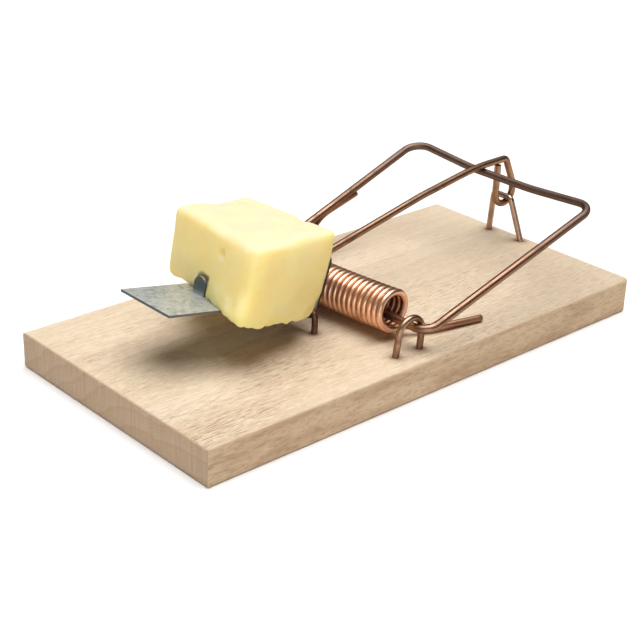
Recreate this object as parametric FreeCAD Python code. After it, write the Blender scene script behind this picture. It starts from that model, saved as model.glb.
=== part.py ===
import FreeCAD, Part
import math
import os

# Snap mouse trap in the set position: a beech board that carries a sprung wire bow, a sheet-metal bait
# pedal, a holding rod and the wire staples that the three turn in.
# Millimetres.  +X runs along the board to the end where the rod is hinged, -X to the end that the bow
# strikes, +Y across the board, +Z up.  The origin is the centre of the board's underside.

Vector = FreeCAD.Vector
UP = Vector(0, 0, 1)
ACROSS = Vector(0, 1, 0)

# Board
BOARD_LENGTH = 100.0
BOARD_WIDTH = 50.0
BOARD_THICKNESS = 6.4
BOARD_EDGE_RADIUS = 0.4
BOARD_CORNER_RADIUS = 1.4
STAPLE_DEPTH = 4.6           # how far the wire legs are driven into the wood

# Striker bow: one wire, from the middle of the coil out to an arm, over the crossbar and back
BOW_WIRE = 1.45
BOW_AXLE_X = -3.2
BOW_AXLE_Z = 10.45
BOW_BAR_X = 39.7
BOW_BAR_Z = 22.52
BOW_BAR_TWIST = 0.22         # the far corner stands this much higher, the near one this much lower
BOW_BAR_SAG = 1.1            # the crossbar gives in its middle, under the rod
BOW_NEAR_BASE_Y = -23.2
BOW_FAR_BASE_Y = 17.9
BOW_HALF_WIDTH_BAR = 22.3
BOW_AXLE_BEND = 2.7
BOW_CORNER_BEND = 3.4
BOW_AXLE_INNER_END = 1.0

# Torsion spring
SPRING_WIRE = 1.2
SPRING_MEAN_RADIUS = 3.25
SPRING_PITCH = 1.22
SPRING_HALF_TURNS = 47
SPRING_X = BOW_AXLE_X
SPRING_NEAR_Y = -15.6
SPRING_NEAR_Z = 11.65        # the pull of the near leg lifts this end off the axle
SPRING_FAR_Z = BOW_AXLE_Z
SPRING_LEG_RUN = 2.2         # each leg leaves the coil along its tangent for this far
SPRING_LEG_BEND = 4.0
SPRING_SET_BEND = 12.0       # the slight bend half way along each leg
SPRING_DIP_BEND = 5.0        # the far leg dips to pass below the bow's arm
SPRING_NEAR_LEG_MIDDLE = Vector(3.8, -18.1, 7.42)
SPRING_NEAR_LEG_END = Vector(13.9, -20.0, 7.05)
SPRING_FAR_LEG_DIP = Vector(8.6, 18.6, 11.95)
SPRING_FAR_LEG_MIDDLE = Vector(12.6, 20.5, 13.75)
SPRING_FAR_LEG_END = Vector(22.0, 20.8, 16.2)

# Axle staples, which hold the bow's axle down
AXLE_STAPLE_WIRE = 1.15
AXLE_STAPLE_X = -4.4
NEAR_AXLE_STAPLE_Y = -20.65
FAR_AXLE_STAPLE_Y = 14.6
AXLE_STAPLE_RADIUS = 2.7
AXLE_STAPLE_FEET_X = (-7.6, -2.0)
PIN_CLEARANCE = 0.04

# Bait pedal: tongue, spike tab, knuckle round its staple and upright catch plate
SHEET = 0.42
PEDAL_WIDTH = 12.8
PEDAL_CENTRE_Y = 1.55
PIVOT_X = -12.0
PIVOT_Z = 10.0
TONGUE_END_X = -41.7
TONGUE_END_Z = 18.05
TONGUE_FRONT_SLOPE = 11.0
TONGUE_KINK_X = -29.3
UPRIGHT_LEAN = 21.0
UPRIGHT_LENGTH = 10.2
UPRIGHT_CORNER_RADIUS = 1.6
SLOT_BOTTOM = 4.7
SLOT_TOP = 7.4
SLOT_WIDTH = 2.2
SLOT_Y = 1.35
TAB_X = -30.6
TAB_Y = 2.5
TAB_WIDTH = 2.8
TAB_HEIGHT = 3.1
TAB_CLEARANCE = 0.15

# Pedal staple
PEDAL_STAPLE_WIRE = 1.1
PEDAL_STAPLE_MARGIN = 0.75   # from the pedal's edge to the leg's centre line
PEDAL_STAPLE_BEND = 0.85

# Holding rod with a long eye at its hinged end
ROD_WIRE = 1.3
ROD_TIP = Vector(-9.9, 1.35, 15.25)
ROD_KNEE = Vector(21.5, 3.1, 20.95)
ROD_CREST = Vector(37.0, 3.95, 22.95)
EYE_Y = 4.45
EYE_FRONT_X = 44.1
EYE_REAR_X = 49.0
EYE_APEX = (46.3, 22.8)
EYE_SHOULDER_Z = 17.2
EYE_BOTTOM_Z = 13.5
EYE_WIRE_END_Z = 21.85
EYE_APEX_BEND = 1.3

# Rod stand: the tall staple that the eye hangs on
STAND_WIRE = 1.15
STAND_BAR_X = 46.98
STAND_BAR_Z = 14.88
STAND_BAR_Y = (2.9, 7.2)
STAND_FOOT_X = 48.0
STAND_FOOT_Y = (0.3, 8.6)
STAND_BEND = 0.9

# Cheese: a hand-cut lump pressed down on the tongue
CHEESE_SIDES = (             # two points of each face's foot, and how far the face leans outwards per height
    (Vector(-27.1, 15.2, 16.0), Vector(-31.8, -12.4, 16.0), -0.13),
    (Vector(-31.8, -12.4, 16.0), Vector(-13.3, -8.2, 11.0), 0.04),
    (Vector(-13.3, -8.2, 11.0), Vector(-13.3, 15.0, 11.0), 0.24),
    (Vector(-13.3, 15.1, 11.0), Vector(-27.1, 15.1, 16.0), 0.01),
)
CHEESE_TOP = (Vector(-29.6, -12.8, 26.7), Vector(-10.0, 15.4, 25.7), Vector(-25.9, 15.0, 27.3))
CHEESE_EDGE_RADIUS = 1.1
CHEESE_GAP = 0.04
CHEESE_SAG = 0.3             # the lump is pressed down round the tongue, deeper towards its front
CHEESE_SAG_ANGLE = 3.0
BLOCK = 200.0                # larger than the trap, for cutting right through the lump
NOTCH_DEPTH = 4.0            # the spike tab has pressed a notch into the lump's front face


def arc_by_corner(before, corner, after, radius):
    """The two tangent points and the middle of an arc that rounds a corner of a path."""
    back = (before - corner).normalize()
    ahead = (after - corner).normalize()
    half = back.getAngle(ahead) / 2
    setback = radius / math.tan(half)
    bisector = (back + ahead).normalize()
    middle = corner + bisector * (radius / math.sin(half) - radius)
    return corner + back * setback, middle, corner + ahead * setback


def add_run(edges, start, end):
    """Append a straight edge, unless two arcs meet with nothing between them."""
    if (end - start).Length > 1e-6:
        edges.append(Part.LineSegment(start, end).toShape())


def rounded_path(points, radii):
    """Straight runs through the points, with a tangent arc at each inner one."""
    edges = []
    place = points[0]
    for index, radius in enumerate(radii, start=1):
        first, middle, last = arc_by_corner(points[index - 1], points[index], points[index + 1], radius)
        add_run(edges, place, first)
        edges.append(Part.Arc(first, middle, last).toShape())
        place = last
    add_run(edges, place, points[-1])
    return edges


def round_wire(edges, start, direction, diameter):
    """Sweep a round section of the given diameter along the edges, as one solid."""
    section = Part.Wire([Part.makeCircle(diameter / 2, start, direction)])
    solid = Part.Wire(edges).makePipeShell([section], True, False)
    return solid.removeSplitter()


def bent_wire(points, radii, diameter):
    """A wire bent through the points."""
    edges = rounded_path(points, radii)
    return round_wire(edges, points[0], points[1] - points[0], diameter)


def slope_vector(degrees):
    """Unit vector towards -X that climbs at the given angle."""
    angle = math.radians(degrees)
    return Vector(-math.cos(angle), 0, math.sin(angle))


def bow():
    """The striker: axle stubs inside the coil, two arms and the crossbar."""
    far_corner = Vector(BOW_BAR_X, BOW_HALF_WIDTH_BAR, BOW_BAR_Z + BOW_BAR_TWIST)
    near_corner = Vector(BOW_BAR_X, -BOW_HALF_WIDTH_BAR, BOW_BAR_Z - BOW_BAR_TWIST)
    sag_z = BOW_BAR_Z - BOW_BAR_SAG
    sag_half = BOW_HALF_WIDTH_BAR / 3
    points = [
        Vector(BOW_AXLE_X, BOW_AXLE_INNER_END, BOW_AXLE_Z),
        Vector(BOW_AXLE_X, BOW_FAR_BASE_Y, BOW_AXLE_Z),
        far_corner,
        Vector(BOW_BAR_X, sag_half, sag_z),
        Vector(BOW_BAR_X, -sag_half, sag_z),
        near_corner,
        Vector(BOW_AXLE_X, BOW_NEAR_BASE_Y, BOW_AXLE_Z),
        Vector(BOW_AXLE_X, -BOW_AXLE_INNER_END, BOW_AXLE_Z),
    ]
    sag_bend = 60.0
    radii = [BOW_AXLE_BEND, BOW_CORNER_BEND, sag_bend, sag_bend, BOW_CORNER_BEND, BOW_AXLE_BEND]
    return bent_wire(points, radii, BOW_WIRE)


def spring():
    """Close-wound coil of half turns, each a half circle between a lowest and a highest point."""
    half_pitch = SPRING_PITCH / 2
    rear = Vector(1, 0, 0)

    def joint(index):
        left = 1 - index / SPRING_HALF_TURNS
        centre_z = SPRING_FAR_Z + (SPRING_NEAR_Z - SPRING_FAR_Z) * left ** 2
        side = SPRING_MEAN_RADIUS if index % 2 else -SPRING_MEAN_RADIUS
        return Vector(SPRING_X, SPRING_NEAR_Y + index * half_pitch, centre_z + side)

    coil = []
    for index in range(SPRING_HALF_TURNS):
        start = joint(index)
        end = joint(index + 1)
        radius = (end - start).Length / 2
        side = rear if index % 2 else rear * -1
        coil.append(Part.Arc(start, (start + end) / 2 + side * radius, end).toShape())

    near_start = joint(0)
    near_points = [
        SPRING_NEAR_LEG_END, SPRING_NEAR_LEG_MIDDLE, near_start + rear * SPRING_LEG_RUN, near_start,
    ]
    near_leg = rounded_path(near_points, [SPRING_SET_BEND, SPRING_LEG_BEND])
    far_start = joint(SPRING_HALF_TURNS)
    far_points = [
        far_start, far_start + rear * SPRING_LEG_RUN,
        SPRING_FAR_LEG_DIP, SPRING_FAR_LEG_MIDDLE, SPRING_FAR_LEG_END,
    ]
    far_leg = rounded_path(far_points, [SPRING_LEG_BEND, SPRING_DIP_BEND, SPRING_SET_BEND])
    direction = SPRING_NEAR_LEG_MIDDLE - SPRING_NEAR_LEG_END
    return round_wire(near_leg + coil + far_leg, SPRING_NEAR_LEG_END, direction, SPRING_WIRE)


def driven_end(top, surface_point):
    """The buried end of a staple leg that runs from top through a point on the board's surface."""
    along = (surface_point - top).normalize()
    return surface_point + along * (STAPLE_DEPTH / -along.z)


def axle_staple(y):
    """An arched staple over the bow's axle, at the given place along it."""
    inner = AXLE_STAPLE_RADIUS - AXLE_STAPLE_WIRE / 2
    reach = inner - BOW_WIRE / 2 - PIN_CLEARANCE
    centre_z = BOW_AXLE_Z - math.sqrt(reach ** 2 - (BOW_AXLE_X - AXLE_STAPLE_X) ** 2)
    front_x, rear_x = AXLE_STAPLE_FEET_X
    rear_top = Vector(AXLE_STAPLE_X + AXLE_STAPLE_RADIUS, y, centre_z)
    crown = Vector(AXLE_STAPLE_X, y, centre_z + AXLE_STAPLE_RADIUS)
    front_top = Vector(AXLE_STAPLE_X - AXLE_STAPLE_RADIUS, y, centre_z)
    front_foot = driven_end(front_top, Vector(front_x, y, BOARD_THICKNESS))
    rear_foot = driven_end(rear_top, Vector(rear_x, y, BOARD_THICKNESS))
    edges = [
        Part.LineSegment(front_foot, front_top).toShape(),
        Part.Arc(front_top, crown, rear_top).toShape(),
        Part.LineSegment(rear_top, rear_foot).toShape(),
    ]
    return round_wire(edges, front_foot, front_top - front_foot, AXLE_STAPLE_WIRE)


def pedal_frame():
    """Places and directions that the pedal's parts share, in the X-Z plane."""
    pivot = Vector(PIVOT_X, 0, PIVOT_Z)
    inner = PEDAL_STAPLE_WIRE / 2 + PIN_CLEARANCE
    kink = Vector(TONGUE_KINK_X, 0, 0)
    drop = math.tan(math.radians(TONGUE_FRONT_SLOPE)) * (TONGUE_KINK_X - TONGUE_END_X)
    kink.z = TONGUE_END_Z - drop
    to_kink = kink - pivot
    rear_slope = math.degrees(math.atan2(to_kink.z, -to_kink.x) + math.asin(inner / to_kink.Length))
    tongue = slope_vector(rear_slope)
    front = slope_vector(TONGUE_FRONT_SLOPE)
    below = Vector(-tongue.z, 0, tongue.x)
    lean = math.radians(UPRIGHT_LEAN)
    upright = Vector(math.sin(lean), 0, math.cos(lean))
    behind = Vector(upright.z, 0, -upright.x)
    return {
        "pivot": pivot, "inner": inner, "kink": kink, "tongue": tongue, "front": front, "below": below,
        "upright": upright, "behind": behind, "slope": rear_slope,
    }


def strip_profile(frame):
    """Side view of the bent sheet: tongue, kink, knuckle and upright, as a closed wire."""
    pivot = frame["pivot"]
    inner = frame["inner"]
    outer = inner + SHEET
    below = frame["below"]
    behind = frame["behind"]
    corner = (below + behind).normalize()
    front_below = Vector(-frame["front"].z, 0, frame["front"].x)
    tip_top = Vector(TONGUE_END_X, 0, TONGUE_END_Z)
    tip_bottom = tip_top + front_below * SHEET
    kink_side = (below + front_below).normalize()
    kink_bottom = frame["kink"] + kink_side * SHEET
    upright_top = frame["upright"] * UPRIGHT_LENGTH
    outline = [
        tip_top, frame["kink"], pivot + below * inner, pivot + corner * inner, pivot + behind * inner,
        pivot + behind * inner + upright_top, pivot + behind * outer + upright_top,
        pivot + behind * outer, pivot + corner * outer, pivot + below * outer, kink_bottom, tip_bottom,
    ]
    runs = [(0, 1), (1, 2), (4, 5), (5, 6), (6, 7), (9, 10), (10, 11), (11, 0)]
    edges = [Part.LineSegment(outline[a], outline[b]).toShape() for a, b in runs]
    edges.append(Part.Arc(outline[2], outline[3], outline[4]).toShape())
    edges.append(Part.Arc(outline[7], outline[8], outline[9]).toShape())
    return Part.Wire(Part.__sortEdges__(edges))


def spike_outline(width, height):
    """A tab with a half-round end, standing on Y, with its foot's middle at the origin."""
    radius = width / 2
    straight = height - radius
    left = Vector(0, -radius, 0)
    right = Vector(0, radius, 0)
    left_top = Vector(0, -radius, straight)
    right_top = Vector(0, radius, straight)
    edges = [
        Part.LineSegment(left, right).toShape(),
        Part.LineSegment(right, right_top).toShape(),
        Part.Arc(right_top, Vector(0, 0, height), left_top).toShape(),
        Part.LineSegment(left_top, left).toShape(),
    ]
    return Part.Face(Part.Wire(edges))


def tab_foot():
    """Where the spike tab's front face leaves the tongue's top."""
    drop = math.tan(math.radians(TONGUE_FRONT_SLOPE)) * (TAB_X - TONGUE_END_X)
    return Vector(TAB_X, TAB_Y, TONGUE_END_Z - drop)


def spike_tab(width, height, thickness):
    """The tab standing square to the front of the tongue, its foot sunk in the sheet."""
    tab = spike_outline(width, height + SHEET).extrude(Vector(thickness, 0, 0))
    tilt = FreeCAD.Rotation(ACROSS, TONGUE_FRONT_SLOPE)
    tab.Placement = FreeCAD.Placement(tab_foot() + Vector(0, 0, -SHEET), tilt)
    return tab


def pedal():
    """The bait pedal: one strip of sheet with a spike tab punched up and a slot for the rod."""
    frame = pedal_frame()
    strip = Part.Face(strip_profile(frame)).extrude(ACROSS * PEDAL_WIDTH)
    strip.translate(ACROSS * (PEDAL_CENTRE_Y - PEDAL_WIDTH / 2))

    foot = tab_foot()
    tab = spike_tab(TAB_WIDTH, TAB_HEIGHT, SHEET)
    window = spike_outline(TAB_WIDTH + 2 * TAB_CLEARANCE, TAB_HEIGHT).extrude(Vector(-4 * SHEET, 0, 0))
    lie_down = FreeCAD.Rotation(ACROSS, 90 + TONGUE_FRONT_SLOPE)
    window.Placement = FreeCAD.Placement(foot + Vector(SHEET, 0, -2 * SHEET), lie_down)

    slot = Part.makeBox(4 * SHEET, SLOT_WIDTH, SLOT_TOP - SLOT_BOTTOM)
    lean = FreeCAD.Rotation(ACROSS, UPRIGHT_LEAN)
    corner = frame["pivot"] + frame["behind"] * (frame["inner"] - SHEET) + frame["upright"] * SLOT_BOTTOM
    corner.y = SLOT_Y - SLOT_WIDTH / 2
    slot.Placement = FreeCAD.Placement(corner, lean)

    sheet = strip.cut(window).cut(slot).fuse(tab).removeSplitter()
    corners = [edge for edge in sheet.Edges if is_upright_corner(edge, frame)]
    return sheet.makeFillet(UPRIGHT_CORNER_RADIUS, corners)


def is_upright_corner(edge, frame):
    """True for the two short edges across the sheet at the top of the catch plate."""
    middle = edge.CenterOfMass - frame["pivot"]
    height = middle.dot(frame["upright"])
    sideways = abs(abs(edge.CenterOfMass.y - PEDAL_CENTRE_Y) - PEDAL_WIDTH / 2)
    return sideways < 1e-3 and abs(height - UPRIGHT_LENGTH) < 1e-3 and edge.Length < 2 * SHEET


def pedal_staple():
    """A square staple whose bar is the pedal's hinge pin."""
    half = PEDAL_WIDTH / 2 + PEDAL_STAPLE_MARGIN
    near = PEDAL_CENTRE_Y - half
    far = PEDAL_CENTRE_Y + half
    foot_z = BOARD_THICKNESS - STAPLE_DEPTH
    points = [
        Vector(PIVOT_X, near, foot_z), Vector(PIVOT_X, near, PIVOT_Z),
        Vector(PIVOT_X, far, PIVOT_Z), Vector(PIVOT_X, far, foot_z),
    ]
    return bent_wire(points, [PEDAL_STAPLE_BEND] * 2, PEDAL_STAPLE_WIRE)


def rod():
    """The holding rod: long eye round the stand's bar, then over the crossbar to the catch plate."""
    eye_bend = (EYE_REAR_X - EYE_FRONT_X) / 2
    apex_x, apex_z = EYE_APEX
    points = [
        Vector(EYE_FRONT_X, EYE_Y, EYE_WIRE_END_Z), Vector(EYE_FRONT_X, EYE_Y, EYE_BOTTOM_Z),
        Vector(EYE_REAR_X, EYE_Y, EYE_BOTTOM_Z), Vector(EYE_REAR_X, EYE_Y, EYE_SHOULDER_Z),
        Vector(apex_x, EYE_Y, apex_z), ROD_CREST, ROD_KNEE, ROD_TIP,
    ]
    gentle_bend = 60.0
    radii = [eye_bend, eye_bend, 2 * eye_bend, EYE_APEX_BEND, gentle_bend, gentle_bend]
    return bent_wire(points, radii, ROD_WIRE)


def rod_stand():
    """The tall splayed staple at the end of the board."""
    near_y, far_y = STAND_BAR_Y
    near_foot, far_foot = STAND_FOOT_Y
    near_bar = Vector(STAND_BAR_X, near_y, STAND_BAR_Z)
    far_bar = Vector(STAND_BAR_X, far_y, STAND_BAR_Z)
    near_end = driven_end(near_bar, Vector(STAND_FOOT_X, near_foot, BOARD_THICKNESS))
    far_end = driven_end(far_bar, Vector(STAND_FOOT_X, far_foot, BOARD_THICKNESS))
    return bent_wire([near_end, near_bar, far_bar, far_end], [STAND_BEND] * 2, STAND_WIRE)


def beyond(point, outward):
    """A block that fills everything on the outward side of a plane."""
    block = Part.makeBox(BLOCK, BLOCK, BLOCK, Vector(-BLOCK / 2, -BLOCK / 2, 0))
    block.Placement = FreeCAD.Placement(point, FreeCAD.Rotation(UP, outward))
    return block


def cheese():
    """A leaning lump with six flat faces, pressed down over the tongue, its edges rounded."""
    frame = pedal_frame()
    gap = frame["below"] * -CHEESE_GAP
    seat = frame["pivot"] + frame["below"] * frame["inner"] + gap
    front_corner = Vector(-BOARD_LENGTH / 2, -BOARD_WIDTH / 2, 0)
    lump = Part.makeBox(BOARD_LENGTH / 2, BOARD_WIDTH, BOARD_WIDTH, front_corner)
    for foot, next_foot, lean in CHEESE_SIDES:
        along = next_foot - foot
        level_outward = Vector(along.y, -along.x, 0).normalize()
        lump = lump.cut(beyond(foot, level_outward - UP * lean))
    base_climb = slope_vector(frame["slope"] - CHEESE_SAG_ANGLE)
    lump = lump.cut(beyond(seat - UP * CHEESE_SAG, Vector(-base_climb.z, 0, base_climb.x)))
    near_point, rear_point, front_point = CHEESE_TOP
    lump = lump.cut(beyond(near_point, (rear_point - near_point).cross(front_point - near_point)))
    lump = lump.makeFillet(CHEESE_EDGE_RADIUS, lump.Edges)

    below = Vector(0, 0, -BLOCK / 2)
    tip = frame["kink"] + frame["front"] * BLOCK + gap
    kink = frame["kink"] + gap
    channel_outline = [seat, kink, tip, tip + below, seat + below, seat]
    channel = Part.Face(Part.makePolygon(channel_outline)).extrude(ACROSS * (PEDAL_WIDTH + 2 * CHEESE_GAP))
    channel.translate(ACROSS * (PEDAL_CENTRE_Y - PEDAL_WIDTH / 2 - CHEESE_GAP))
    notch = spike_tab(TAB_WIDTH + 2 * TAB_CLEARANCE, TAB_HEIGHT + TAB_CLEARANCE, NOTCH_DEPTH)
    notch.translate(Vector(SHEET + TAB_CLEARANCE - NOTCH_DEPTH, 0, 0))
    return lump.cut(channel).cut(notch)


def board(driven_wires):
    """The wooden base, with a hole for each leg that is driven into it."""
    corner = Vector(-BOARD_LENGTH / 2, -BOARD_WIDTH / 2, 0)
    wood = Part.makeBox(BOARD_LENGTH, BOARD_WIDTH, BOARD_THICKNESS, corner)
    worn = [edge for edge in wood.Edges if is_worn_corner(edge)]
    wood = wood.makeFillet(BOARD_CORNER_RADIUS, worn)
    rims = [edge for edge in wood.Edges if edge.BoundBox.ZLength < 1e-6]
    wood = wood.makeFillet(BOARD_EDGE_RADIUS, rims)
    for driven in driven_wires:
        wood = wood.cut(driven)
    return wood


def is_worn_corner(edge):
    """True for the upright edge at the rear near corner, which is rounded by handling."""
    middle = edge.CenterOfMass
    return middle.x > BOARD_LENGTH / 2 - 1 and middle.y < 1 - BOARD_WIDTH / 2 and edge.BoundBox.ZLength > 1


def main():
    os.makedirs("parts", exist_ok=True)
    staples = {
        "near_axle_staple": axle_staple(NEAR_AXLE_STAPLE_Y),
        "far_axle_staple": axle_staple(FAR_AXLE_STAPLE_Y),
        "pedal_staple": pedal_staple(),
        "rod_stand": rod_stand(),
    }
    pieces = {
        "base_board": board(staples.values()),
        "striker_bow": bow(),
        "torsion_spring": spring(),
        "bait_pedal": pedal(),
        "holding_rod": rod(),
        "cheese_bait": cheese(),
    }
    pieces.update(staples)
    for name, shape in pieces.items():
        box = shape.BoundBox
        low = "%.2f %.2f %.2f" % (box.XMin, box.YMin, box.ZMin)
        high = "%.2f %.2f %.2f" % (box.XMax, box.YMax, box.ZMax)
        print(name, "valid", shape.isValid(), "solids", len(shape.Solids), "box", low, "to", high)
        shape.exportStep(f"parts/{name}.step")


main()
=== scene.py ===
import math

import bmesh
import bpy
from mathutils import Matrix, Vector, noise


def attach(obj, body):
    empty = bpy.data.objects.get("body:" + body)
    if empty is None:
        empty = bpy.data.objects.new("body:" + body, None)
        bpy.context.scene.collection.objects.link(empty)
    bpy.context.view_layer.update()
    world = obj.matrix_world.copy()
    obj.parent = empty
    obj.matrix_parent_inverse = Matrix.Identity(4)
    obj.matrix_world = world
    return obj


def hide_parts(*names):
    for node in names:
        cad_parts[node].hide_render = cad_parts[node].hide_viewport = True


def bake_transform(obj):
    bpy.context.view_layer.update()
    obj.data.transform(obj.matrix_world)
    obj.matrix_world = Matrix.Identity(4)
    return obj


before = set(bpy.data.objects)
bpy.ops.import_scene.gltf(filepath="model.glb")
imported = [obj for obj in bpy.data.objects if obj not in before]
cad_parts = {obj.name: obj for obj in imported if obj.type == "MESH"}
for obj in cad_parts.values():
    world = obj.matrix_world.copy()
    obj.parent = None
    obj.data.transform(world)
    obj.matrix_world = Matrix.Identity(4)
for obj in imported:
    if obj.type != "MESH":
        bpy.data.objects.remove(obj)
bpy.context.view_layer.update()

# Lengths are in millimetres in the row frame, unless a comment says metres; MM turns them into metres.
# Colours are linear red, green and blue, and the scales of textures are per metre.
MM = 0.001
scene = bpy.context.scene


# ---------------------------------------------------------------- places on the part

BOARD_TOP_Z = 6.4
BOARD_HALF_WIDTH = 25.0
LEG_FEET = (                 # x and y of the marks where the wire legs enter the board
    (-7.6, -20.65), (-2.0, -20.65), (-7.6, 14.6), (-2.0, 14.6),
    (-12.0, -5.6), (-12.0, 8.7), (48.0, 0.3), (48.0, 8.6),
)
TONGUE_FRONT_TOP = (-41.7, 18.05)        # x and z along the pedal's upper face
TONGUE_KINK_TOP = (-29.3, 15.64)
TONGUE_REAR_TOP = (-12.17, 9.43)
PEDAL_MIDDLE_Y = 1.55
PEDAL_HALF_WIDTH = 6.4
TAB_X = -30.6
TAB_Y = 2.5
TAB_HALF_WIDTH = 1.4
TAB_TOP_Z = 18.9


# ---------------------------------------------------------------- camera

CAMERA_PLACE = Vector((-0.16054, -0.16660, 0.11245))     # metres
CAMERA_AZIMUTH = math.radians(-43.01)
CAMERA_ELEVATION = math.radians(25.233)
CAMERA_ROLL = math.radians(2.013)
CAMERA_LENS = 80.36
CAMERA_SENSOR = 36
CAMERA_CLIP = (0.01, 20)                                 # metres


def make_camera():
    """The photo's camera: it looks down on the front end and the near side, and is rolled a little."""
    az, el = CAMERA_AZIMUTH, CAMERA_ELEVATION
    back = Vector((math.sin(az) * math.cos(el), -math.cos(az) * math.cos(el), math.sin(el)))
    right = Vector((math.cos(az), math.sin(az), 0))
    up = back.cross(right)
    turned_right = right * math.cos(CAMERA_ROLL) + up * math.sin(CAMERA_ROLL)
    turned_up = up * math.cos(CAMERA_ROLL) - right * math.sin(CAMERA_ROLL)
    data = bpy.data.cameras.new("camera")
    data.lens = CAMERA_LENS
    data.sensor_width = CAMERA_SENSOR
    data.clip_start, data.clip_end = CAMERA_CLIP
    camera = bpy.data.objects.new("camera", data)
    axes = Matrix((turned_right, turned_up, back)).transposed()
    camera.matrix_world = Matrix.Translation(CAMERA_PLACE) @ axes.to_4x4()
    scene.collection.objects.link(camera)
    scene.camera = camera


# ---------------------------------------------------------------- node helpers

class Nodes:
    """A material and short calls for its nodes."""

    SHADER_INPUTS = {
        "color": "Base Color", "metal": "Metallic", "rough": "Roughness",
        "specular": "Specular IOR Level", "tint": "Specular Tint",
        "subsurface": "Subsurface Weight", "radius": "Subsurface Radius", "reach": "Subsurface Scale",
    }

    def __init__(self, name):
        self.material = bpy.data.materials.new(name)
        self.material.use_nodes = True
        self.tree = self.material.node_tree
        self.shader = self.tree.nodes["Principled BSDF"]

    def add(self, kind, **values):
        """A new node. Names that start with a capital are its inputs, the others its settings."""
        node = self.tree.nodes.new(kind)
        for key, value in values.items():
            if key[0].isupper():
                self.put(node.inputs[key], value)
            else:
                setattr(node, key, value)
        return node

    def put(self, socket, value):
        """Links or sets an input; a colour may leave out its alpha."""
        if isinstance(value, bpy.types.NodeSocket):
            self.tree.links.new(value, socket)
        elif socket.type == "RGBA":
            socket.default_value = (*value, 1)
        else:
            socket.default_value = value

    def place(self):
        """Where a point is on the piece, in metres in the row frame at rest."""
        return self.add("ShaderNodeTexCoord").outputs["Object"]

    def facing(self):
        """The X, Y and Z of the way the surface faces, in the row frame at rest."""
        return self.split(self.add("ShaderNodeTexCoord").outputs["Normal"])

    def split(self, vector):
        return self.add("ShaderNodeSeparateXYZ", Vector=vector).outputs

    def stretch(self, vector, scale, turn=(0, 0, 0), shift=(0, 0, 0)):
        node = self.add("ShaderNodeMapping", Vector=vector, Scale=scale, Rotation=turn, Location=shift)
        return node.outputs["Vector"]

    def noise(self, vector, scale, detail, rough=0.5, distortion=0.0, turn=(0, 0, 0), shift=(0, 0, 0)):
        """Cloudy greys. The scale is one number, or one each for x, y and z, with a turn and shift."""
        if isinstance(scale, tuple):
            vector = self.stretch(vector, scale, turn, shift)
            scale = 1.0
        node = self.add("ShaderNodeTexNoise", Vector=vector, Scale=scale, Detail=detail,
                        Roughness=rough, Distortion=distortion)
        return node.outputs["Fac"]

    def ramp(self, value, stops):
        """Colours or greys along a value; stops are (position, colour or grey)."""
        node = self.add("ShaderNodeValToRGB", Fac=value)
        ramp = node.color_ramp
        while len(ramp.elements) < len(stops):
            ramp.elements.new(0.5)
        for element, (position, colour) in zip(ramp.elements, stops):
            element.position = position
            if not isinstance(colour, tuple):
                colour = (colour, colour, colour)
            element.color = (*colour, 1)
        return node.outputs["Color"]

    def mix(self, factor, a, b, blend="MIX"):
        """Colour a where the factor is 0, turning into b where it is 1."""
        node = self.add("ShaderNodeMix", data_type="RGBA", blend_type=blend)
        for index, value in ((0, factor), (6, a), (7, b)):
            self.put(node.inputs[index], value)
        return node.outputs[2]

    def combine(self, operation, a, b=0.0):
        node = self.add("ShaderNodeMath", operation=operation)
        self.put(node.inputs[0], a)
        self.put(node.inputs[1], b)
        return node.outputs[0]

    def plus(self, a, b):
        return self.combine("ADD", a, b)

    def minus(self, a, b):
        return self.combine("SUBTRACT", a, b)

    def times(self, a, b):
        return self.combine("MULTIPLY", a, b)

    def larger(self, a, b):
        return self.combine("MAXIMUM", a, b)

    def unsigned(self, a):
        return self.combine("ABSOLUTE", a)

    def between(self, value, low, high):
        """0 where a coordinate is low, 1 where it is high, and on at the same rate past both."""
        return self.times(self.minus(value, low * MM), 1 / ((high - low) * MM))

    def distance(self, vector, point):
        """How far a place is from a point, in metres."""
        node = self.add("ShaderNodeVectorMath", operation="DISTANCE")
        self.put(node.inputs[0], vector)
        self.put(node.inputs[1], [value * MM for value in point])
        return node.outputs["Value"]

    def length(self, vector):
        node = self.add("ShaderNodeVectorMath", operation="LENGTH")
        self.put(node.inputs[0], vector)
        return node.outputs["Value"]

    def set(self, **values):
        """Gives the shader's own inputs their values."""
        for key, value in values.items():
            self.put(self.shader.inputs[self.SHADER_INPUTS[key]], value)

    def bump(self, heights):
        """Stacks bumps; heights are (value, height in millimetres, strength)."""
        normal = None
        for value, height, strength in heights:
            node = self.add("ShaderNodeBump", Height=value, Distance=height * MM, Strength=strength)
            if normal is not None:
                self.put(node.inputs["Normal"], normal)
            normal = node.outputs["Normal"]
        self.put(self.shader.inputs["Normal"], normal)


# ---------------------------------------------------------------- beech

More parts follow.
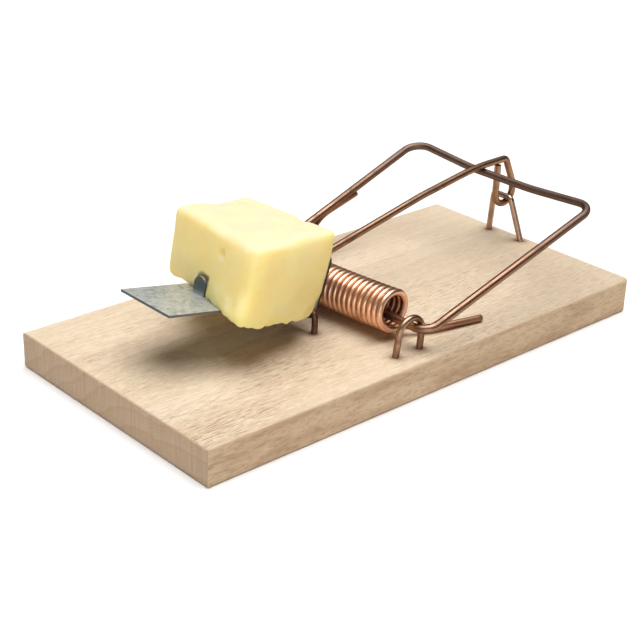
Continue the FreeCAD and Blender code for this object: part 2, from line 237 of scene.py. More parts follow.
HEART_Y, HEART_Z = -22.0, -50.0
RINGS_PER_METRE = 330.0
RING_WANDER = 2.4                        # how many rings a line may stray
RING_STOPS = ((0.0, 0.0), (0.72, 0.55), (0.90, 1.0), (1.0, 0.0))
TOP_TONES = (
    (0.30, (0.653, 0.515, 0.363)),
    (0.50, (0.709, 0.573, 0.417)),
    (0.72, (0.744, 0.616, 0.463)),
)
END_TONES = (
    (0.34, (0.407, 0.281, 0.177)),
    (0.50, (0.519, 0.376, 0.249)),
    (0.66, (0.597, 0.450, 0.311)),
)
TOP_RING_TONE = (0.580, 0.428, 0.281)
REAR_TONE = (0.554, 0.437, 0.311)
PALE_TONE = (0.804, 0.679, 0.519)
FLECK_TONE = (0.294, 0.164, 0.091)
SIDE_TONE = (0.600, 0.410, 0.232)
SIDE_STREAK_TONE = (0.407, 0.247, 0.138)
SIDE_SPECK_TONE = (0.345, 0.205, 0.115)
END_RING_TONE = (0.415, 0.264, 0.156)
ARRIS_TONE = (0.519, 0.355, 0.225)
BRUISE_TONE = (0.173, 0.095, 0.056)
GRAIN_HALF_RUN = 55.5556                 # the grain changes from minus this x to plus this x
BRUISES_PER_METRE = 300.0                # one over the width that BRUISE_STOPS span
BRUISE_STOPS = ((0.0, 1.0), (0.24, 0.9), (0.42, 0.28), (0.75, 0.0))
TURNED_AWAY = ((0.55, 0.0), (0.80, 1.0))     # where a face counts as a side or an end, not as the top


def growth_rings(n, place):
    """Dark lines round a heart that runs below the board, almost in line with it."""
    from_heart = n.length(n.stretch(place, (0.05, 1, 1), shift=(0, -HEART_Y * MM, -HEART_Z * MM)))
    wander = n.noise(place, (12, 60, 60), 3, 0.55)
    ring = n.plus(n.times(from_heart, RINGS_PER_METRE), n.times(wander, RING_WANDER))
    return n.ramp(n.combine("FRACT", ring), RING_STOPS)


def planed_wood(n, place, ring, fibre):
    """Tones along the grain, duller towards the near rear corner, with fine fibres and a pale mottle."""
    axes = n.split(place)
    broad = n.noise(place, (14.4, 96, 96), 3, 0.55, 0.3)
    tone = n.mix(n.times(ring, 0.30), n.ramp(broad, TOP_TONES), TOP_RING_TONE)
    corner = n.minus(n.times(axes["X"], 12.5), n.times(axes["Y"], 10.0))
    tone = n.mix(n.ramp(corner, ((0.15, 0.0), (0.75, 0.60))), tone, REAR_TONE)
    along = n.between(axes["X"], -GRAIN_HALF_RUN, GRAIN_HALF_RUN)
    clear = n.ramp(along, ((0.30, 1.0), (0.80, 0.55)))
    fibre_tone = n.ramp(fibre, ((0.30, 0.40), (0.52, 0.52), (0.75, 0.60)))
    tone = n.mix(n.times(clear, 0.45), tone, fibre_tone, "OVERLAY")
    mottle = n.noise(place, (700, 1500, 1500), 3, 0.65)
    pale = n.times(clear, n.ramp(mottle, ((0.50, 0.0), (0.68, 0.55))))
    return n.mix(pale, tone, PALE_TONE)


def ray_flecks(n, place):
    """Short dark dashes along the grain, thicker towards the front end and the near side."""
    axes = n.split(place)
    long_fleck = n.noise(place, (300, 3900, 3900), 2.0, 0.55, turn=(0, 0, math.radians(0.8)))
    fine_fleck = n.noise(place, (700, 5600, 5600), 1.0, shift=(0.432, 0.173, 0.087))
    patch = n.noise(place, (30, 80, 80), 2)
    flecks = n.larger(n.ramp(long_fleck, ((0.53, 0.0), (0.63, 1.0))),
                      n.ramp(fine_fleck, ((0.60, 0.0), (0.68, 0.8))))
    flecks = n.times(flecks, n.ramp(patch, ((0.36, 0.25), (0.60, 1.0))))
    along = n.between(axes["X"], -GRAIN_HALF_RUN, GRAIN_HALF_RUN)
    across = n.between(axes["Y"], -BOARD_HALF_WIDTH, BOARD_HALF_WIDTH)
    front = n.ramp(along, ((0.0, 1.0), (0.55, 0.75), (1.0, 0.28)))
    near_side = n.ramp(across, ((0.40, 1.0), (0.80, 0.55)))
    return n.times(flecks, n.times(front, near_side))


def long_side(n, place, wood):
    """The board's long sides: redder, with soft dark streaks and fine specks."""
    streak = n.noise(place, (48, 40, 340), 4, 0.65, 0.6, shift=(0.11, 0, 0.2))
    speck = n.noise(place, (650, 650, 2600), 3, 0.7)
    side = n.mix(0.62, wood, SIDE_TONE)
    side = n.mix(n.ramp(streak, ((0.44, 0.0), (0.66, 0.66))), side, SIDE_STREAK_TONE)
    return n.mix(n.ramp(speck, ((0.50, 0.0), (0.66, 0.55))), side, SIDE_SPECK_TONE)


def end_grain(n, place, ring, pores):
    """The sawn ends: fine pores, faint upright saw marks and the growth rings."""
    saw = n.noise(place, (1, 2100, 70), 4, 0.65, 0.2)
    cross = n.plus(n.times(pores, 0.5), n.times(saw, 0.5))
    return n.mix(n.times(ring, 0.42), n.ramp(cross, END_TONES), END_RING_TONE)


def leg_bruises(n, place):
    """Ragged dark wood round each wire leg."""
    bruise = None
    for x, y in LEG_FEET:
        away = n.distance(place, (x, y, BOARD_TOP_Z))
        near = n.ramp(n.times(away, BRUISES_PER_METRE), BRUISE_STOPS)
        bruise = near if bruise is None else n.larger(bruise, near)
    return n.times(bruise, n.ramp(n.noise(place, 1300.0, 3, 0.6), ((0.3, 0.55), (0.6, 1.0))))


def beech():
    """Planed beech: pale tan, dark ray flecks along the grain, growth rings across the ends."""
    n = Nodes("beech")
    place = n.place()
    facing = n.facing()
    ring = growth_rings(n, place)
    fibre = n.noise(place, (45, 1500, 1500), 4, 0.6, 0.1)
    pores = n.noise(place, (1, 4200, 4200), 2, 0.6)
    flecks = ray_flecks(n, place)
    bruise = leg_bruises(n, place)
    wood = n.mix(n.times(flecks, 0.80), planed_wood(n, place, ring, fibre), FLECK_TONE)
    on_end = n.ramp(n.unsigned(facing["X"]), TURNED_AWAY)
    on_side = n.ramp(n.unsigned(facing["Y"]), TURNED_AWAY)
    colour = n.mix(on_side, wood, long_side(n, place, wood))
    colour = n.mix(on_end, colour, end_grain(n, place, ring, pores))
    # handling has browned the arrises
    arris = n.ramp(n.unsigned(facing["Z"]), ((0.25, 0.0), (0.62, 1.0), (0.93, 1.0), (1.0, 0.0)))
    colour = n.mix(n.times(arris, 0.35), colour, ARRIS_TONE)
    colour = n.mix(n.times(bruise, 0.80), colour, BRUISE_TONE)
    n.set(color=colour, rough=n.ramp(fibre, ((0.3, 0.74), (0.7, 0.62))), specular=0.25)
    n.bump((
        (fibre, 0.03, 0.35),
        (flecks, -0.04, 0.4),
        (pores, 0.03, n.times(on_end, 0.5)),
        (bruise, -0.12, 0.6),
    ))
    return n.material


# ---------------------------------------------------------------- metals

def scaled(colour, factor):
    """A colour made lighter or darker."""
    return tuple(min(1, part * factor) for part in colour)


def copper_wire(name, light, dark, rough=0.34, aged_and_shaded=None):
    """Copper-washed steel wire: satin, finely pitted, with dull patches and dark specks.

    aged_and_shaded is (x where the dulling starts, x where it is full, colour), for wire that is browner at
    one end: the bow's own greyer, browner rear, and painted shade on the spring's legs."""
    n = Nodes(name)
    place = n.place()
    cloud = n.noise(place, 260.0, 4, 0.6, 0.4)
    pitting = n.noise(place, 2600.0, 3, 0.7)
    colour = n.ramp(cloud, ((0.30, dark), (0.50, light), (0.75, scaled(light, 1.12))))
    roughness = n.ramp(cloud, ((0.3, rough + 0.16), (0.6, rough)))
    if aged_and_shaded:
        start, full, brown = aged_and_shaded
        reach = n.between(n.split(place)["X"], start, full)
        uneven = n.plus(reach, n.times(n.minus(cloud, 0.5), 0.9))
        worn_and_shaded = n.ramp(uneven, ((0.0, 0.0), (1.0, 1.0)))
        # real browning on the bow's rear; painted shade on the spring's legs
        colour = n.mix(worn_and_shaded, colour, brown)
        roughness = n.plus(roughness, n.times(worn_and_shaded, 0.14))
    speck = n.ramp(pitting, ((0.56, 0.0), (0.72, 0.45)))
    colour = n.mix(speck, colour, scaled(dark, 0.5))
    n.set(color=colour, metal=1.0, rough=roughness, tint=scaled(light, 1.1))
    n.bump(((pitting, 0.02, 0.35), (cloud, 0.06, 0.25)))
    return n.material


ZINC_TONES = (
    (0.30, (0.365, 0.400, 0.358)),
    (0.50, (0.650, 0.675, 0.635)),
    (0.70, (0.860, 0.875, 0.845)),
)
# painted shade: the tab and other faces that look to the front are darkened as if in the shade of the
# cheese's notch
TAB_SHADE_TONES = (                            # from the tab's foot up to its rim
    (0.0, (0.40, 0.42, 0.40)),
    (0.28, (0.095, 0.125, 0.130)),
    (0.62, (0.050, 0.070, 0.072)),
    (0.92, (0.075, 0.076, 0.045)),
)
TAB_FOOT_Z = 15.8
TAB_SHADE_TOP_Z = 18.925
SCRATCH_TONE = (0.85, 0.86, 0.82)
# painted shade: the catch plate behind the cheese is painted dark brown, and its edges darker still
CATCH_PLATE_SHADE_TONE = (0.150, 0.132, 0.112)
SHEET_EDGE_TONE = (0.085, 0.090, 0.080)
CATCH_PLATE_EDGE_SHADE_TONE = (0.040, 0.030, 0.024)


def galvanised():
    """Zinc-coated sheet: grey-green, mottled with fine spangle, with painted shade towards the cheese, on
    the tab and on the catch plate behind.
    """
    n = Nodes("galvanised")
    place = n.place()
    axes = n.split(place)
    facing = n.facing()
    cell = n.add("ShaderNodeTexVoronoi", Vector=place, Scale=1100.0)
    spangle = n.split(cell.outputs["Color"])["X"]
    cloud = n.noise(place, 950.0, 5, 0.75, 0.3)
    scratch = n.noise(place, (2500, 220, 900), 2, 0.6, turn=(0, 0, 0.4))
    tone = n.mix(0.7, n.ramp(cloud, ZINC_TONES), n.ramp(spangle, ((0.0, 0.36), (1.0, 0.64))), "OVERLAY")
    tone = n.mix(n.ramp(scratch, ((0.66, 0.0), (0.74, 0.35))), tone, SCRATCH_TONE)
    # painted shade: a little darker back along the tongue towards the cheese, and dark brown on the catch
    # plate behind the cheese
    painted_shade_by_cheese = n.ramp(n.between(axes["X"], -42, -32), ((0.0, 1.0), (0.85, 0.74)))
    catch_plate_shade = n.ramp(n.between(axes["X"], -20, -10), ((0.45, 0.0), (0.80, 1.0)))
    tone = n.mix(1.0, tone, painted_shade_by_cheese, "MULTIPLY")
    tone = n.mix(catch_plate_shade, tone, CATCH_PLATE_SHADE_TONE)
    # painted shade: faces that look to the front, above all the tab's in the cheese's notch, are darkened;
    # the cut edges are dark too
    upright = n.ramp(n.times(facing["X"], -1.0), ((0.60, 0.0), (0.90, 0.97)))
    painted_front_shade = n.ramp(n.between(axes["Z"], TAB_FOOT_Z, TAB_SHADE_TOP_Z), TAB_SHADE_TONES)
    tone = n.mix(upright, tone, painted_front_shade)
    edge = n.ramp(n.unsigned(facing["Y"]), ((0.5, 0.0), (0.9, 0.9)))
    tone = n.mix(edge, tone, SHEET_EDGE_TONE)
    # painted shade on the catch plate's cut edges
    tone = n.mix(n.times(catch_plate_shade, edge), tone, CATCH_PLATE_EDGE_SHADE_TONE)
    bare = n.minus(0.6, n.times(n.larger(edge, upright), 0.5))
    n.set(color=tone, metal=bare, rough=n.ramp(cloud, ((0.3, 0.55), (0.7, 0.42))), specular=0.5)
    n.bump(((cloud, 0.08, 0.30), (spangle, 0.02, 0.30)))
    return n.material


# ---------------------------------------------------------------- cheese and floor finishes

CHEESE_TONES = (
    (0.30, (0.935, 0.722, 0.262)),
    (0.52, (0.945, 0.762, 0.320)),
    (0.76, (0.955, 0.812, 0.410)),
)
CHEESE_GLOW = (1.0, 0.72, 0.30)          # how far red, green and blue spread under the surface
CHEESE_GLOW_REACH = 3.6
# painted light: the colour of faces that look up, paler as if lit from above
PAINTED_TOP_LIGHT_TONE = (0.870, 0.795, 0.552)
# painted shade round the notch that the tab has torn
NOTCH_SHADE_TONE = (0.215, 0.172, 0.058)
NOTCH_SHADE_PLACE = (TAB_X + 0.9, TAB_Y, 17.5)
NOTCH_SHADE_PER_METRE = 250.0                   # one over the width that NOTCH_SHADE_STOPS span
NOTCH_SHADE_STOPS = ((0.0, 1.0), (0.44, 0.95), (0.58, 0.0))
FLOOR_GREY = (0.93, 0.93, 0.93)


def cheese_finish():
    """Young hard cheese: pale yellow, waxy, see-through near its edges, with a faint mottle and crumbs,
    painted paler on its upward faces as painted light from above, and with painted shade round the tab's
    notch.
    """
    n = Nodes("cheese")
    place = n.place()
    facing = n.facing()
    cloud = n.noise(place, 90.0, 4, 0.6, 0.4)
    crumb = n.noise(place, 1500.0, 4, 0.7, 0.2)
    drag = n.noise(place, (300, 300, 2600), 2)
    uneven = n.times(n.minus(cloud, 0.5), 0.5)
    # painted light: faces that look up are painted paler, as lit from above
    painted_top_light = n.ramp(n.plus(facing["Z"], uneven), ((0.35, 0.0), (0.85, 1.0)))
    colour = n.mix(n.times(painted_top_light, 0.75), n.ramp(cloud, CHEESE_TONES), PAINTED_TOP_LIGHT_TONE)
    # painted shade round the notch that the tab has torn
    notch_shade = n.ramp(n.times(n.distance(place, NOTCH_SHADE_PLACE), NOTCH_SHADE_PER_METRE), NOTCH_SHADE_STOPS)
    colour = n.mix(n.times(notch_shade, 0.9), colour, NOTCH_SHADE_TONE)
    n.set(color=colour, rough=0.50, specular=0.30, subsurface=0.85, radius=CHEESE_GLOW,
          reach=CHEESE_GLOW_REACH * MM)
    n.bump(((crumb, 0.07, 0.30), (drag, 0.04, 0.25), (cloud, 0.3, 0.30)))
    return n.material


def floor_finish():
    """Matt and nearly white."""
    n = Nodes("floor")
    n.set(color=FLOOR_GREY, rough=0.8, specular=0.1)
    return n.material


# ---------------------------------------------------------------- mesh helpers

TUBE_SIDES = 14
ARC_STEP = 0.3                           # about how far apart the points are on an arc
STRAIGHT_STEP = 0.75                     # and on a straight run


def new_piece(name, mesh, material, rounded=True):
    """An object in the scene; rounded shades its faces as one curved surface."""
    piece = bpy.data.objects.new(name, mesh)
    scene.collection.objects.link(piece)
    mesh.materials.append(material)
    if rounded:
        mesh.polygons.foreach_set("use_smooth", [True] * len(mesh.polygons))
    return piece


def swept_tube(name, path, radius):
    """A closed tube of round section along close points, its section carried without twist."""
    verts, faces = [], []
    tangents = []
    for i in range(len(path)):
        before = path[max(0, i - 1)]
        after = path[min(len(path) - 1, i + 1)]
        tangents.append((after - before).normalized())
    normal = tangents[0].orthogonal().normalized()
    for i, (point, tangent) in enumerate(zip(path, tangents)):
        if i:
            normal = tangents[i - 1].rotation_difference(tangent) @ normal
        normal = (normal - tangent * normal.dot(tangent)).normalized()
        side = tangent.cross(normal)
        for k in range(TUBE_SIDES):
            angle = 2 * math.pi * k / TUBE_SIDES
            verts.append(point + (normal * math.cos(angle) + side * math.sin(angle)) * radius)
    for i in range(len(path) - 1):
        for k in range(TUBE_SIDES):
            a, b = i * TUBE_SIDES + k, i * TUBE_SIDES + (k + 1) % TUBE_SIDES
            faces.append((a, b, b + TUBE_SIDES, a + TUBE_SIDES))
    faces.append(tuple(reversed(range(TUBE_SIDES))))
    faces.append(tuple(range(len(verts) - TUBE_SIDES, len(verts))))
    mesh = bpy.data.meshes.new(name)
    mesh.from_pydata([tuple(v) for v in verts], [], faces)
    mesh.update()
    return mesh


def bent_run(corners, radii):
    """Close points along straight runs joined by arcs at the inner corners."""
    points = [corners[0]]
    for i, radius in enumerate(radii, 1):
        before, corner, after = corners[i - 1], corners[i], corners[i + 1]
        back, on = (before - corner).normalized(), (after - corner).normalized()
        half = back.angle(on) / 2
        cut = radius / math.tan(half)
        start, end = corner + back * cut, corner + on * cut
        centre = corner + (back + on).normalized() * (radius / math.sin(half))
        a, b = start - centre, end - centre
        count = max(4, int(radius * a.angle(b) / ARC_STEP))
        for k in range(count + 1):
            points.append(centre + a.slerp(b, k / count).normalized() * radius)
    points.append(corners[-1])
    dense = [points[0]]
    for a, b in zip(points, points[1:]):
        count = max(1, int((b - a).length / STRAIGHT_STEP))
        for k in range(1, count + 1):
            dense.append(a.lerp(b, k / count))
    return dense


# ---------------------------------------------------------------- spring

SPRING_WIRE = 1.2
COIL_X = -3.2
COIL_NEAR_Y = -15.6
COIL_NEAR_Z = 11.65
COIL_FAR_Z = 10.45
COIL_PITCH = 1.22
COIL_HALF_TURNS = 47
COIL_RADIUS = 3.25
COIL_STEPS = 40                          # points in each turn
NEAR_LEG = ((13.9, -20.0, 7.05), (3.8, -18.1, 7.42))
FAR_LEG = ((8.6, 18.6, 11.95), (12.6, 20.5, 13.75), (22.0, 20.8, 16.2))
LEG_RUN = Vector((2.2, 0, 0))            # the coil's ends run straight to the rear before they bend
LEG_BEND = 4.0                           # radii of the bends in the legs
DIP_BEND = 5.0
SET_BEND = 12.0


def coil_point(turns):
    """A point on the coil, starting at its lowest point at the near end."""
    y = COIL_NEAR_Y + turns * COIL_PITCH
    left = 1 - turns * 2 / COIL_HALF_TURNS
    centre_z = COIL_FAR_Z + (COIL_NEAR_Z - COIL_FAR_Z) * left ** 2
    angle = 2 * math.pi * turns
    return Vector((COIL_X - COIL_RADIUS * math.sin(angle), y, centre_z - COIL_RADIUS * math.cos(angle)))


def make_spring(material):
    """One wire: a leg on the board, the coil, and a leg under the bow's far arm."""
    near_start = coil_point(0)
    far_end = coil_point(COIL_HALF_TURNS / 2)
    near = bent_run([Vector(point) for point in NEAR_LEG] + [near_start + LEG_RUN, near_start],
                    [SET_BEND, LEG_BEND])
    far = bent_run([far_end, far_end + LEG_RUN] + [Vector(point) for point in FAR_LEG],
                   [LEG_BEND, DIP_BEND, SET_BEND])
    coil = [coil_point(i / COIL_STEPS) for i in range(1, int(COIL_HALF_TURNS / 2 * COIL_STEPS))]
    path = [point * MM for point in near + coil + far]
    spring = new_piece("spring_coil", swept_tube("spring_wire", path, SPRING_WIRE / 2 * MM), material)
    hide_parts("torsion_spring")
    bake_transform(spring)


# ---------------------------------------------------------------- cheese

CHEESE_CORNERS = {           # front or rear, near or far, base or top
    (0, 0, 0): (-33.35, -12.1, 15.7), (0, 1, 0): (-28.0, 14.5, 14.7),
    (1, 0, 0): (-13.4, -8.0, 9.9), (1, 1, 0): (-13.3, 15.0, 9.8),
    (0, 0, 1): (-27.9, -9.7, 27.1), (0, 1, 1): (-26.4, 14.4, 27.1),
    (1, 0, 1): (-10.6, -9.6, 26.2), (1, 1, 1): (-10.6, 14.3, 25.4),
}
CHEESE_HALF_SIZE = Vector((9.6, 13.7, 7.0))      # of the even block that is bent to the corners
CHEESE_ROUNDING = 1.7
CHEESE_CUTS = (44, 62, 32)                       # how finely the mesh is cut along x, y and z

# lumps in the surface: height, size and seed
FACE_LUMPS = ((0.26, 6.5, 1.3), (0.12, 2.4, 4.1), (0.04, 0.9, 7.7))
FOOT_LUMPS = ((0.34, 2.1, 9.3), (0.20, 0.95, 2.2))
TOP_LUMPS = ((0.28, 5.0, 12.5),)
RIM_LUMPS = ((1.0, 1.7, 5.9),)
NOTCH_SIDE_LUMPS = ((0.20, 0.9, 6.1),)
NOTCH_TOP_LUMPS = ((0.30, 1.1, 8.8),)
NOTCH_BACK_LUMPS = ((0.15, 0.7, 3.3),)
TOP_SINK = 0.05
RIM_DEPTH = 0.62

# spans: where each starts and where it is full
FOOT_Z = (19.5, 13.5)                            # the crumbled foot's heights, at FOOT_X
FOOT_X = -30
FOOT_SLOPE = 0.20                                # it slopes down to the rear with the tongue
TOP_FACING = (0.55, 0.9)                         # how far upwards a face that counts as the top looks
RIM_FACING = (0.55, -0.35)
FAR_EDGE_X = -17.0                               # the middle of the crumbled part of the far top edge
FAR_EDGE_RUN = (7.0, 0.5)                        # distances along the edge from there
FAR_EDGE_Y = (9.0, 14.0)
FAR_EDGE_Z = (20.0, 25.5)
FAR_EDGE_DEPTH = 0.60

# marks: place, distance where each starts, distance where it is full
PIT = (Vector((-28.6, -1.0, 23.7)), 0.95, 0.20)
PIT_DEPTH = 0.60
REAR_BITE = (Vector((-11.6, -1.6, 25.6)), 2.2, 0.3)
REAR_BITE_DEPTH = 0.40
RUBBED_CORNER = (Vector((-12.8, -8.2, 10.6)), 5.5, 0.5)
RUBBED_MOVE = Vector((-0.60, 0.50, 0.62))
SOFT_EDGE = (3.4, 0.6)                           # distances only: it runs along an upright edge
SOFT_EDGE_MOVE = Vector((0.42, 0.42, 0))

# the squeezed lower part of the front, and the notch that the spike tab has torn there
SQUEEZED_Z = (21.0, 15.5)
SQUEEZED_X = (-24.0, -28.5)
FORWARD_Y = (1.5, -3.5)
FORWARD_MOVE = 0.55
BACK_Y = (2.5, 6.0)
BACK_END_Y = (14.0, 11.0)
BACK_MOVE = 0.85
NOTCH_BACK_X = TAB_X + 1.35
NOTCH_MIDDLE_Y = TAB_Y + 0.05
NOTCH_BASE_Z = 16.0
NOTCH_SIDE_GAP = 0.22
NOTCH_TOP_GAP = 0.40
TONGUE_GAP = 0.03
TONGUE_SIDE_GAP = 0.12


def tongue_top(x):
    """Height of the pedal's upper face."""
    (x0, z0), (x1, z1), (x2, z2) = TONGUE_FRONT_TOP, TONGUE_KINK_TOP, TONGUE_REAR_TOP
    if x < x1:
        return z1 + (z0 - z1) * (x1 - x) / (x1 - x0)
    return z1 + (z2 - z1) * (x - x1) / (x2 - x1)


def between_corners(a, b, c):
    """The point that is a, b and c of the way from the front, near, base corner to the opposite one."""
    point = Vector((0, 0, 0))
    for (i, j, k), corner in CHEESE_CORNERS.items():
        weight = (a if i else 1 - a) * (b if j else 1 - b) * (c if k else 1 - c)
        point += Vector(corner) * weight
    return point


def clump(point, size, seed):
    """Smooth noise from -1 to 1, with lumps of about that size."""
    return noise.noise(point / size + Vector((seed, seed * 1.7, -seed)))


def lumps(point, waves):
    """How far a surface stands out at a point, for lumps of several sizes."""
    return sum(height * clump(point, size, seed) for height, size, seed in waves)


def ease(start, full, value):
    """0 before start and 1 past full, with a soft change between; start may be the larger one."""
    t = min(1.0, max(0.0, (value - start) / (full - start)))
    return t * t * (3 - 2 * t)


def near_mark(point, mark):
    """1 in the middle of a mark and 0 away from it."""
    place, start, full = mark
    return ease(start, full, (point - place).length)


def rounded_block():
    """An even fine mesh of the block between the eight corners, with rounded edges."""
    half, radius = CHEESE_HALF_SIZE, CHEESE_ROUNDING
    inner = half - Vector((radius,) * 3)
    bm = bmesh.new()
    bmesh.ops.create_cube(bm, size=2.0)
    for axis, count in enumerate(CHEESE_CUTS):
        # the edges along this axis are still the cube's full 2.0 long
        edges = [e for e in bm.edges if abs((e.verts[0].co - e.verts[1].co)[axis]) > 1.5]
        bmesh.ops.subdivide_edges(bm, edges=edges, cuts=count, use_grid_fill=True)
    for vert in bm.verts:
        p = Vector(vert.co[i] * half[i] for i in range(3))
        core = Vector(max(-inner[i], min(inner[i], p[i])) for i in range(3))
        rounded = core + (p - core).normalized() * radius
        a, b, c = ((rounded[i] / half[i] + 1) / 2 for i in range(3))
        vert.co = between_corners(a, b, c)
    bm.normal_update()
    return bm


def wear(p, normal):
    """How a point of the plain block moves: uneven faces, a crumbled foot, a pit and worn edges."""
    foot = ease(*FOOT_Z, p.z + FOOT_SLOPE * (p.x - FOOT_X))
    push = lumps(p, FACE_LUMPS)
    push += foot * lumps(p, FOOT_LUMPS)
    push += ease(*TOP_FACING, normal.z) * (lumps(p, TOP_LUMPS) - TOP_SINK)
    push -= PIT_DEPTH * near_mark(p, PIT)
    move = normal * push
    # a ragged lower rim
    rags = lumps(Vector((p.x, p.y, 0)), RIM_LUMPS)
    move.z += foot * RIM_DEPTH * rags * ease(*RIM_FACING, normal.z)
    # the far top edge has crumbled away between its corners, and a bite is missing behind
    crumbled = ease(*FAR_EDGE_Y, p.y) * ease(*FAR_EDGE_RUN, abs(p.x - FAR_EDGE_X)) * ease(*FAR_EDGE_Z, p.z)
    move.z -= FAR_EDGE_DEPTH * crumbled
    move.z -= REAR_BITE_DEPTH * near_mark(p, REAR_BITE)
    # the upright edge between the front and the near side is worn soft
    edge_foot, edge_top = Vector(CHEESE_CORNERS[0, 0, 0]), Vector(CHEESE_CORNERS[0, 0, 1])
    edge = edge_foot.lerp(edge_top, (p.z - edge_foot.z) / (edge_top.z - edge_foot.z))
    move += SOFT_EDGE_MOVE * ease(*SOFT_EDGE, Vector((p.x - edge.x, p.y - edge.y)).length)
    # the rear corner under the near side is rubbed round
    move += RUBBED_MOVE * near_mark(p, RUBBED_CORNER)
    return move


def squeeze_past_tab(p):
    """The lump is squeezed forward on the near side of the tab and back on its far side."""
    low = ease(*SQUEEZED_Z, p.z) * ease(*SQUEEZED_X, p.x)
    p.x -= low * FORWARD_MOVE * ease(*FORWARD_Y, p.y)
    p.x += low * BACK_MOVE * ease(*BACK_Y, p.y) * ease(*BACK_END_Y, p.y)


def tear_notch(p):
    """The notch that the spike tab has torn, with uneven walls."""
    half_width = TAB_HALF_WIDTH + NOTCH_SIDE_GAP + lumps(p, NOTCH_SIDE_LUMPS)
    top_z = TAB_TOP_Z + NOTCH_TOP_GAP + lumps(p, NOTCH_TOP_LUMPS)
    wide = abs(p.y - NOTCH_MIDDLE_Y) / half_width
    high = (p.z - NOTCH_BASE_Z) / (top_z - NOTCH_BASE_Z)
    if p.x < NOTCH_BACK_X and max(wide, high) < 1.0:
        p.x = NOTCH_BACK_X + lumps(p, NOTCH_BACK_LUMPS)


def rest_on_tongue(p):
    """Flat where it lies on the tongue; on either side of the tongue it hangs lower."""
    past_side = abs(p.y - PEDAL_MIDDLE_Y) - PEDAL_HALF_WIDTH
    lowest = tongue_top(p.x) + TONGUE_GAP
    if past_side < TONGUE_SIDE_GAP and p.z < lowest:
        p.z = lowest


def make_cheese(material):
    """The lump of cheese, pressed on the tongue round the tab."""
    bm = rounded_block()
    moves = [wear(vert.co, vert.normal) for vert in bm.verts]
    for vert, move in zip(bm.verts, moves):
        vert.co += move
    for vert in bm.verts:
        squeeze_past_tab(vert.co)
        tear_notch(vert.co)
        rest_on_tongue(vert.co)
        vert.co *= MM
    mesh = bpy.data.meshes.new("cheese")
    bm.to_mesh(mesh)
    bm.free()
    lump = new_piece("cheese_lump", mesh, material)
    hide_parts("cheese_bait")
    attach(lump, "pedal")


# ---------------------------------------------------------------- stage and light

FLOOR_HALF_SIZE = 3.0                    # metres
FLOOR_CELLS = 8
FLOOR_DROP = 0.05                        # keeps the floor clear of the board's underside
SKY = ((0.60, 0.0), (0.97, 0.33))        # height, from 0 at the horizon to 1 overhead, and grey
KEY = ((0.05, -0.04, 1.0), 3.70, 58)     # towards the light, strength, width in degrees
FILL = ((-0.97, -0.92, 0.15), 0.72, 30)


def make_stage():
    """A plain pale floor."""
    bm = bmesh.new()
    bmesh.ops.create_grid(bm, x_segments=FLOOR_CELLS, y_segments=FLOOR_CELLS, size=FLOOR_HALF_SIZE)
    mesh = bpy.data.meshes.new("floor")
    bm.to_mesh(mesh)
    bm.free()
    floor = new_piece("floor", mesh, floor_finish(), rounded=False)
    floor.location.z = -FLOOR_DROP * MM


def soft_sun(name, towards, strength, spread):
    """Even light from one direction; spread is the source's width in degrees."""
    data = bpy.data.lights.new(name, "SUN")
    data.energy = strength
    data.angle = math.radians(spread)
    light = bpy.data.objects.new(name, data)
    light.rotation_mode = "QUATERNION"
    light.rotation_quaternion = Vector(towards).to_track_quat("Z", "Y")
    scene.collection.objects.link(light)


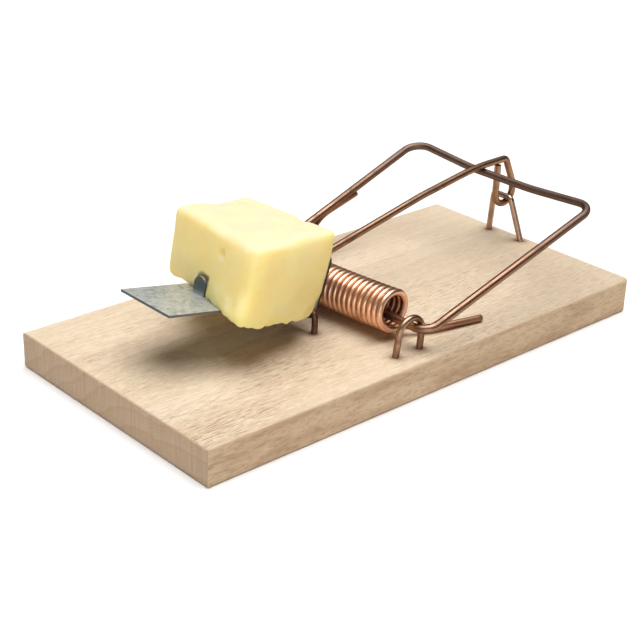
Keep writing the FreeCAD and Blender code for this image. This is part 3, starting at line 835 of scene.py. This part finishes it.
def make_light():
    """A bright ceiling, a broad key from above and a low fill from the front and the near side.

    Past the floor's far edge the room shows as the same white as the floor."""
    world = bpy.data.worlds.new("studio")
    scene.world = world
    world.use_nodes = True
    tree = world.node_tree
    sky = tree.nodes["Background"]
    place = tree.nodes.new("ShaderNodeTexCoord")
    split = tree.nodes.new("ShaderNodeSeparateXYZ")
    ramp = tree.nodes.new("ShaderNodeValToRGB")
    white = tree.nodes.new("ShaderNodeBackground")
    path = tree.nodes.new("ShaderNodeLightPath")
    seen = tree.nodes.new("ShaderNodeMixShader")
    for element, (position, grey) in zip(ramp.color_ramp.elements, SKY):
        element.position = position
        element.color = (grey, grey, grey, 1)
    white.inputs["Color"].default_value = (1, 1, 1, 1)
    tree.links.new(place.outputs["Generated"], split.inputs["Vector"])
    tree.links.new(split.outputs["Z"], ramp.inputs["Fac"])
    tree.links.new(ramp.outputs["Color"], sky.inputs["Color"])
    tree.links.new(path.outputs["Is Camera Ray"], seen.inputs["Fac"])
    tree.links.new(sky.outputs["Background"], seen.inputs[1])
    tree.links.new(white.outputs["Background"], seen.inputs[2])
    tree.links.new(seen.outputs["Shader"], tree.nodes["World Output"].inputs["Surface"])
    soft_sun("key", *KEY)
    soft_sun("fill", *FILL)
    scene.view_settings.view_transform = "Standard"
    scene.view_settings.look = "None"


# ---------------------------------------------------------------- build

def set_material(node, material):
    """Gives a CAD node that stays visible its finish."""
    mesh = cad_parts[node].data
    mesh.materials.clear()
    mesh.materials.append(material)


make_camera()
make_stage()
make_light()

bow_copper = copper_wire("bow_copper", light=(0.330, 0.188, 0.122), dark=(0.190, 0.107, 0.068),
                         aged_and_shaded=(16, 38, (0.205, 0.135, 0.107)))
rod_copper = copper_wire("rod_copper", light=(0.350, 0.205, 0.127), dark=(0.205, 0.116, 0.072))
# painted shade: the spring's legs are painted browner, as if in the shade of the bow's arms
spring_copper = copper_wire("spring_copper", light=(0.810, 0.490, 0.330), dark=(0.46, 0.245, 0.150),
                            rough=0.33, aged_and_shaded=(1, 9, (0.420, 0.228, 0.142)))
staple_copper = copper_wire("staple_copper", light=(0.410, 0.242, 0.158), dark=(0.215, 0.122, 0.080))
stand_copper = copper_wire("stand_copper", light=(0.500, 0.340, 0.262), dark=(0.33, 0.205, 0.155),
                           rough=0.28)
# painted shade: a darker copy of the copper wire for the pedal staple, which sits in shade under the pedal
# and the cheese
pin_copper_painted_shade = copper_wire("pin_copper_painted_shade", light=(0.220, 0.120, 0.078), dark=(0.11, 0.06, 0.042))
set_material("base_board", beech())
set_material("striker_bow", bow_copper)
set_material("holding_rod", rod_copper)
set_material("near_axle_staple", staple_copper)
set_material("far_axle_staple", staple_copper)
set_material("rod_stand", stand_copper)
set_material("pedal_staple", pin_copper_painted_shade)
set_material("bait_pedal", galvanised())
make_cheese(cheese_finish())
make_spring(spring_copper)
